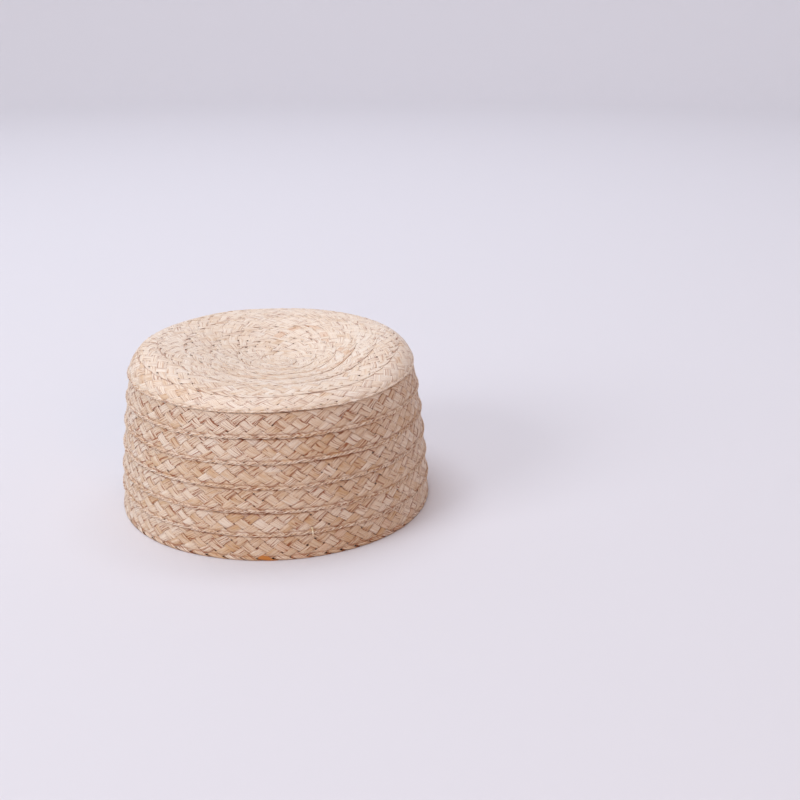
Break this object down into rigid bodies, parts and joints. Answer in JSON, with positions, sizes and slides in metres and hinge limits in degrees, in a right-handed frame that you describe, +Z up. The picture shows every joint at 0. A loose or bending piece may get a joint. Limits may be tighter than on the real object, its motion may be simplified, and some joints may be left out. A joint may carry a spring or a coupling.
{
  "type": "pork pie hat",
  "caption": "Brimless flat-topped straw hat sewn from one flat plait in a spiral, with a sunken tip, a round shoulder and a slightly flared side, open below for the head.",
  "frame": {"origin": "middle of the rim, on the plane it stands on", "axes": "+Z up through the tip, -Y towards the front, where the crown's edge is pressed down; the seam between turns is at +Y"},
  "size_m": [0.1844, 0.1856, 0.0968],
  "materials": {
    "straw": "natural pale straw plait, dry and matt, with a faint sheen along the strands"
  },
  "bodies": {
    "root": {"tip": "straw", "shoulder_round": "straw", "side_round_1": "straw", "side_round_2": "straw", "side_round_3": "straw", "side_round_4": "straw", "side_round_5": "straw", "edge_round": "straw"}
  },
  "joints": []
}
